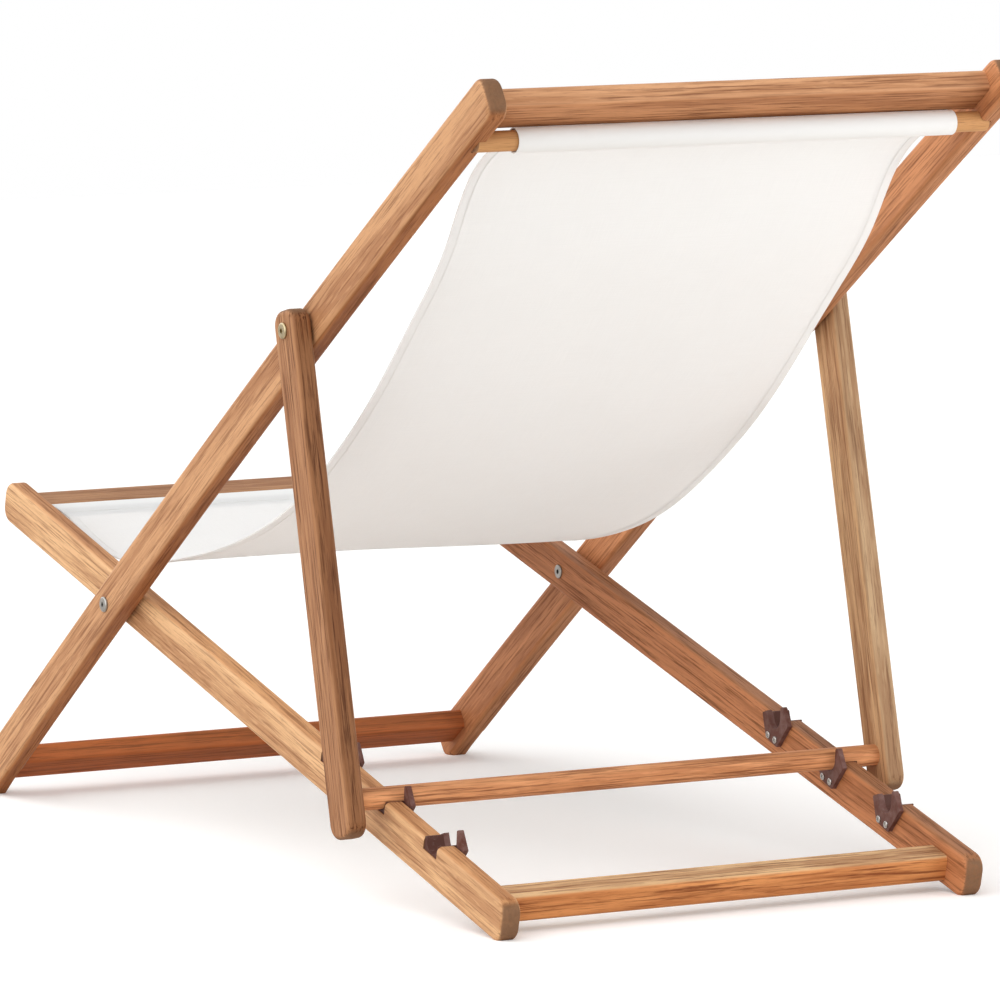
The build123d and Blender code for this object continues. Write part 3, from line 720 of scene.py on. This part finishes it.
def canvas_material(cloth_line):
    """Off-white canvas with its weave, slubs and a soft sheen; one layer lets light through, and the hem
    tubes get a painted light.
    """
    sling = cloth_line.sling
    made, tree, shader = new_material("Sling canvas", Sheen_Weight=0.25, Sheen_Roughness=0.5,
                                      Specular_IOR_Level=0.15, Subsurface_Scale=0.004,
                                      Subsurface_Radius=(1.0, 1.0, 1.0))
    cloth = add_node(tree, "ShaderNodeUVMap", uv_map="cloth").outputs[0]
    weave = shared_group("Canvas weave", build_weave)
    threads = add_node(tree, "ShaderNodeGroup", {"Cloth": cloth, "Pitch": sling.weave},
                       node_tree=weave).outputs
    base = sling.canvas
    slub = ramp(tree, threads["Slub"], 0.35, 0.65)
    shade = blend_colour(tree, slub, solid(darker(base, 0.965)), solid(base))
    gap = calc(tree, "MULTIPLY", threads["Gap"], 0.3)
    shade = blend_colour(tree, gap, shade, solid(darker(base, 0.78)))
    cloud = noise(tree, cloth, 9.0, 3.0, 0.6)
    shade = blend_colour(tree, ramp(tree, cloud, 0.4, 0.7, 0.0, 0.25), shade, solid(darker(base, 0.93)))
    tree.links.new(calc(tree, "MULTIPLY_ADD", threads["Slub"], 0.12, 0.78), shader.inputs["Roughness"])
    height = calc(tree, "MULTIPLY_ADD", threads["Slub"], 0.6, threads["Height"])
    bump(tree, shader, height, 0.3, 0.0002)
    run = add_node(tree, "ShaderNodeSeparateXYZ", {0: cloth}).outputs[1]
    first, last = cloth_line.panel_from, cloth_line.panel_to
    last_lap = cloth_line.run[-1] - sling.hem_lap
    after = ramp(tree, run, first + THIN_FROM, first + THIN_TO)
    before = ramp(tree, run, last - THIN_TO, last - THIN_FROM, 1.0, 0.0)
    lap_from = ramp(tree, run, sling.hem_lap, sling.hem_lap + LAP_FADE, 1.0, 0.0)
    lap_to = ramp(tree, run, last_lap - LAP_FADE, last_lap)
    panel = calc(tree, "MULTIPLY", after, before)
    laps = calc(tree, "MAXIMUM", lap_from, lap_to)
    single = calc(tree, "MAXIMUM", panel, laps)
    # Painted light: the hem tubes, which let no light through, are painted paler than the single layer
    shade = blend_colour(tree, single, solid(between(base, WHITE, 0.25)), shade)
    tree.links.new(shade, shader.inputs["Base Color"])
    tree.links.new(single, shader.inputs["Subsurface Weight"])
    return made


class SUNCHAIR_OT_sling(bpy.types.Operator):
    """Hangs the canvas sling between the two dowels, with its hems"""
    bl_idname = "sun_chair.sling"
    bl_label = "Hang the sling"

    def execute(self, context):
        sling = context.scene.sun_chair.sling
        cloth = Cloth(sling)
        half = cloth.half
        hem = sling.side_hem
        edge = np.array((0.0, hem * 0.25, hem * 0.5, hem * 0.75, hem, hem + FOLD_STEP))
        inner = np.linspace(-half + hem + 0.006, half - hem - 0.006, 48)
        x = np.concatenate((edge - half, inner, half - edge[::-1]))
        rows, columns = len(cloth.run), len(x)
        run_grid, x_grid = np.meshgrid(cloth.run, x, indexing="ij")
        front = cloth.surface(run_grid, x_grid, 1).reshape(-1, 3)
        rear = cloth.surface(run_grid, x_grid, -1).reshape(-1, 3)
        size = rows * columns
        index = np.arange(size).reshape(rows, columns)
        a, b, c, d = (index[:-1, :-1].ravel(), index[:-1, 1:].ravel(),
                      index[1:, 1:].ravel(), index[1:, :-1].ravel())
        faces = np.concatenate((np.column_stack((a, b, c, d)), np.column_stack((d, c, b, a)) + size))
        rim = np.concatenate((index[0, :-1], index[:-1, -1], index[-1, :0:-1], index[:0:-1, 0]))
        next_rim = np.roll(rim, -1)
        faces = np.concatenate((faces, np.column_stack((rim, rim + size, next_rim + size, next_rim))))
        mesh = bpy.data.meshes.new("sling_canvas")
        mesh.from_pydata(np.concatenate((front, rear)).tolist(), [], faces.tolist())
        shell = bmesh.new()
        shell.from_mesh(mesh)
        bmesh.ops.recalc_face_normals(shell, faces=shell.faces)
        shell.to_mesh(mesh)
        shell.free()
        flat = np.column_stack((x_grid.ravel(), run_grid.ravel()))
        flat = np.concatenate((flat, flat))
        corners = np.zeros(len(mesh.loops), dtype=np.int32)
        mesh.loops.foreach_get("vertex_index", corners)
        mesh.uv_layers.new(name="cloth").data.foreach_set("uv", flat[corners].astype(np.float32).ravel())
        mesh.shade_smooth()
        mesh.set_sharp_from_angle(angle=radians(50))
        mesh.materials.append(canvas_material(cloth))
        made = new_object("sling_canvas", mesh)
        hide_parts("sling")
        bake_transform(made)
        return {"FINISHED"}


# Stitching: distances of the seams from the edges, start of the side seams, and points of the lines
SEAM_INSET = 0.003
SIDE_INSET = 0.002
SIDE_START = 0.006
SEAM_POINTS = 60
SIDE_POINTS = 220


def stitch_tree():
    """Geometry Nodes: lays a stitch at even steps along each line."""
    tree = bpy.data.node_groups.new("Run of stitches", "GeometryNodeTree")
    sockets = {}
    for label, kind in (("Lines", "Geometry"), ("Pitch", "Float"), ("Stitch", "Float"),
                        ("Radius", "Float"), ("Thread", "Material")):
        sockets[label] = tree.interface.new_socket(label, in_out="INPUT", socket_type="NodeSocket" + kind)
    tree.interface.new_socket("Stitches", in_out="OUTPUT", socket_type="NodeSocketGeometry")
    use = tree.nodes.new("NodeGroupInput").outputs
    curve = add_node(tree, "GeometryNodeMeshToCurve", {"Mesh": use["Lines"]}).outputs[0]
    steps = add_node(tree, "GeometryNodeResampleCurve", {"Curve": curve, "Length": use["Pitch"]},
                     mode="LENGTH").outputs[0]
    ball = add_node(tree, "GeometryNodeMeshUVSphere", {"Segments": 6, "Rings": 5, "Radius": 1.0}).outputs[0]
    half = add_node(tree, "ShaderNodeMath", {0: use["Stitch"], 1: 0.5}, operation="MULTIPLY").outputs[0]
    size = add_node(tree, "ShaderNodeCombineXYZ", {0: use["Radius"], 1: use["Radius"], 2: half}).outputs[0]
    slope = tree.nodes.new("GeometryNodeInputTangent").outputs[0]
    turn = add_node(tree, "FunctionNodeAlignRotationToVector", {"Vector": slope}, axis="Z").outputs[0]
    laid = add_node(tree, "GeometryNodeInstanceOnPoints", {
        "Points": steps, "Instance": ball, "Rotation": turn, "Scale": size,
    }).outputs[0]
    real = add_node(tree, "GeometryNodeRealizeInstances", {"Geometry": laid}).outputs[0]
    done = add_node(tree, "GeometryNodeSetMaterial", {
        "Geometry": real, "Material": use["Thread"],
    }).outputs[0]
    give = tree.nodes.new("NodeGroupOutput")
    tree.links.new(done, give.inputs[0])
    return tree, {label: socket.identifier for label, socket in sockets.items()}


def thread_material(stitching):
    """Sewing thread with a slight twist in its shade."""
    made, tree, shader = new_material("Sewing thread", Sheen_Weight=0.2, Specular_IOR_Level=0.2)
    place = add_node(tree, "ShaderNodeTexCoord").outputs["Object"]
    wear = shared_group("Handling wear", build_wear)
    marks = add_node(tree, "ShaderNodeGroup", {"Place": place, "Scale": 900.0, "Scuffs": 0.5},
                     node_tree=wear).outputs
    base = stitching.thread
    shade = blend_colour(tree, marks["Cloud"], solid(darker(base, 0.85)), solid(base))
    tree.links.new(shade, shader.inputs["Base Color"])
    tree.links.new(calc(tree, "MULTIPLY_ADD", marks["Cloud"], 0.2, 0.6), shader.inputs["Roughness"])
    bump(tree, shader, marks["Height"], 0.2, 0.0001)
    return made


class SUNCHAIR_OT_stitching(bpy.types.Operator):
    """Sews the seams of the hem tubes and of the side hems"""
    bl_idname = "sun_chair.stitching"
    bl_label = "Sew the hems"

    def execute(self, context):
        chair = context.scene.sun_chair
        sling = chair.sling
        sewing = chair.stitching
        cloth = Cloth(sling)
        proud = 1 + sewing.radius * 0.5 / sling.thickness * 2
        lap_mid = sling.hem_lap - SEAM_INSET
        x_seam = np.linspace(-cloth.half + SEAM_INSET, cloth.half - SEAM_INSET, SEAM_POINTS)
        past = sling.hem_reach + sling.hem_lap + SIDE_START
        run_side = np.linspace(cloth.panel_from + past, cloth.panel_to - past, SIDE_POINTS)
        seam_from = cloth.panel_from + sling.hem_reach + SEAM_INSET
        seam_to = cloth.panel_to - sling.hem_reach - SEAM_INSET
        lines = []
        for run in (lap_mid, seam_from, seam_to, cloth.run[-1] - lap_mid):
            lines.append(cloth.surface(np.full_like(x_seam, run), x_seam, proud))
        for x in (-cloth.half + sling.side_hem - SIDE_INSET, cloth.half - sling.side_hem + SIDE_INSET):
            for face in (1, -1):
                lines.append(cloth.surface(run_side, np.full_like(run_side, x), face * proud))
        points = []
        edges = []
        for line in lines:
            first = len(points)
            points += line.tolist()
            edges += [(first + i, first + i + 1) for i in range(len(line) - 1)]
        guide_mesh = bpy.data.meshes.new("stitch_lines")
        guide_mesh.from_pydata(points, edges, [])
        guide = new_object("stitch_lines", guide_mesh)
        tree, ids = stitch_tree()
        modifier = guide.modifiers.new("Run of stitches", "NODES")
        modifier.node_group = tree
        modifier[ids["Pitch"]] = sewing.pitch
        modifier[ids["Stitch"]] = sewing.stitch
        modifier[ids["Radius"]] = sewing.radius
        modifier[ids["Thread"]] = thread_material(sewing)
        graph = context.evaluated_depsgraph_get()
        mesh = bpy.data.meshes.new_from_object(guide.evaluated_get(graph))
        guide.modifiers.remove(modifier)
        bpy.data.objects.remove(guide)
        if len(mesh.polygons) == 0:
            raise RuntimeError("the stitches came out empty")
        mesh.shade_smooth()
        made = new_object("sling_stitching", mesh)
        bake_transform(made)
        return {"FINISHED"}


# Stage: the camera's place, turns in degrees, lens and sensor in millimetres, shift and reach
CAMERA_FROM_PIVOT = Vector((3.3297, 6.6767, 0.8873))
CAMERA_TURNS = (152.35, 84.04, -0.63)
CAMERA_LENS = 268.15
CAMERA_SENSOR = 36.0
CAMERA_SHIFT = (-0.00108, -0.0224)
CAMERA_REACH = 100.0
# Lamps far away: width, azimuth and elevation in degrees; then the soft box, the floor and the sky
KEY_LAMP = (100, 105, 39)
FRONT_LAMP = (60, 15, 30)
REAR_LAMP_SIZE = 0.9
REAR_LAMP_AT = Vector((-1.3, 1.5, 0.6))
REAR_LAMP_TOWARDS = Vector((-0.2, 0.3, 0.35))
FLOOR_REACH = 9.0
SKY_COLOUR = (1.0, 0.985, 0.96)


def sun_lamp(name, strength, angle, azimuth, elevation):
    """A soft lamp far away, from a compass direction."""
    lamp = bpy.data.lights.new(name, "SUN")
    lamp.energy = strength
    lamp.angle = radians(angle)
    made = bpy.data.objects.new(name, lamp)
    bpy.context.scene.collection.objects.link(made)
    made.rotation_euler = Euler((radians(90 - elevation), 0.0, radians(azimuth)))
    return made


def soft_lamp(name, power, size, at, towards):
    """A square soft box at a place, turned towards a point."""
    lamp = bpy.data.lights.new(name, "AREA")
    lamp.energy = power
    lamp.size = size
    made = bpy.data.objects.new(name, lamp)
    bpy.context.scene.collection.objects.link(made)
    made.location = at
    made.rotation_euler = (towards - at).to_track_quat("-Z", "Y").to_euler()
    made.visible_camera = False
    return made


class SUNCHAIR_OT_stage(bpy.types.Operator):
    """Sets the floor, the soft light and the camera"""
    bl_idname = "sun_chair.stage"
    bl_label = "Set the stage"

    def execute(self, context):
        scene = context.scene
        stage = scene.sun_chair.stage
        mesh = bpy.data.meshes.new("studio_floor")
        signs = ((-1, -1), (1, -1), (1, 1), (-1, 1))
        corners = [(x * FLOOR_REACH, y * FLOOR_REACH, 0.0) for x, y in signs]
        mesh.from_pydata(corners, [], [(0, 1, 2, 3)])
        made, tree, shader = new_material("Studio floor", Roughness=0.9, Specular_IOR_Level=0.0)
        seen = tree.nodes.new("ShaderNodeLightPath").outputs["Is Camera Ray"]
        shade = blend_colour(tree, seen, solid(stage.bounce), solid(stage.floor))
        tree.links.new(shade, shader.inputs["Base Color"])
        shader.inputs["Emission Color"].default_value = solid(WHITE)
        tree.links.new(calc(tree, "MULTIPLY", seen, stage.lift), shader.inputs["Emission Strength"])
        mesh.materials.append(made)
        new_object("studio_floor", mesh)
        world = bpy.data.worlds.new("Studio light")
        scene.world = world
        world.use_nodes = True
        tree = world.node_tree
        tree.nodes.clear()
        path = tree.nodes.new("ShaderNodeLightPath").outputs
        white = add_node(tree, "ShaderNodeBackground", {"Color": solid(WHITE), "Strength": 1.0})
        sky = add_node(tree, "ShaderNodeBackground", {"Color": solid(SKY_COLOUR), "Strength": stage.sky})
        clear = calc(tree, "MAXIMUM", path["Is Camera Ray"], path["Is Glossy Ray"])
        mixed = add_node(tree, "ShaderNodeMixShader", {
            0: clear, 1: sky.outputs[0], 2: white.outputs[0],
        }).outputs[0]
        target = tree.nodes.new("ShaderNodeOutputWorld")
        tree.links.new(mixed, target.inputs["Surface"])
        sun_lamp("Key lamp", stage.key, *KEY_LAMP)
        sun_lamp("Front lamp", stage.front, *FRONT_LAMP)
        soft_lamp("Rear lamp", stage.rear, REAR_LAMP_SIZE, REAR_LAMP_AT, REAR_LAMP_TOWARDS)
        lens = bpy.data.cameras.new("Camera")
        lens.sensor_width = CAMERA_SENSOR
        lens.lens = CAMERA_LENS
        lens.shift_x, lens.shift_y = CAMERA_SHIFT
        lens.clip_end = CAMERA_REACH
        camera = bpy.data.objects.new("Camera", lens)
        scene.collection.objects.link(camera)
        yaw, pitch, roll = (radians(turn) for turn in CAMERA_TURNS)
        turn = Matrix.Rotation(yaw, 4, "Z") @ Matrix.Rotation(pitch, 4, "X") @ Matrix.Rotation(roll, 4, "Z")
        camera.matrix_world = Matrix.Translation(PIVOT + CAMERA_FROM_PIVOT) @ turn
        scene.camera = camera
        scene.view_settings.view_transform = "Standard"
        return {"FINISHED"}


class SUNCHAIR_PT_panel(bpy.types.Panel):
    """Settings and steps of the sun chair"""
    bl_label = "Sun chair"
    bl_idname = "SUNCHAIR_PT_panel"
    bl_space_type = "VIEW_3D"
    bl_region_type = "UI"
    bl_category = "Sun chair"

    def draw(self, context):
        chair = context.scene.sun_chair
        steps = (
            ("timber", SUNCHAIR_OT_timber),
            ("fittings", SUNCHAIR_OT_fittings),
            ("sling", SUNCHAIR_OT_sling),
            ("stitching", SUNCHAIR_OT_stitching),
            ("stage", SUNCHAIR_OT_stage),
        )
        for group, operator in steps:
            box = self.layout.box()
            values = getattr(chair, group)
            for name in values.bl_rna.properties.keys():
                if name not in {"rna_type", "name"}:
                    box.prop(values, name)
            box.operator(operator.bl_idname)


CLASSES = (
    SunChairTimber, SunChairFittings, SunChairSling, SunChairStitching, SunChairStage, SunChairSettings,
    SUNCHAIR_OT_timber, SUNCHAIR_OT_fittings, SUNCHAIR_OT_sling, SUNCHAIR_OT_stitching, SUNCHAIR_OT_stage,
    SUNCHAIR_PT_panel,
)


def register():
    """Adds the classes and the scene's settings."""
    for kind in CLASSES:
        bpy.utils.register_class(kind)
    bpy.types.Scene.sun_chair = PointerProperty(type=SunChairSettings)


def unregister():
    """Removes the scene's settings and the classes."""
    del bpy.types.Scene.sun_chair
    for kind in reversed(CLASSES):
        bpy.utils.unregister_class(kind)


def main():
    """Dresses the chair and sets the stage."""
    register()
    bpy.ops.sun_chair.timber()
    bpy.ops.sun_chair.fittings()
    bpy.ops.sun_chair.sling()
    bpy.ops.sun_chair.stitching()
    bpy.ops.sun_chair.stage()


if __name__ == "__main__":
    main()
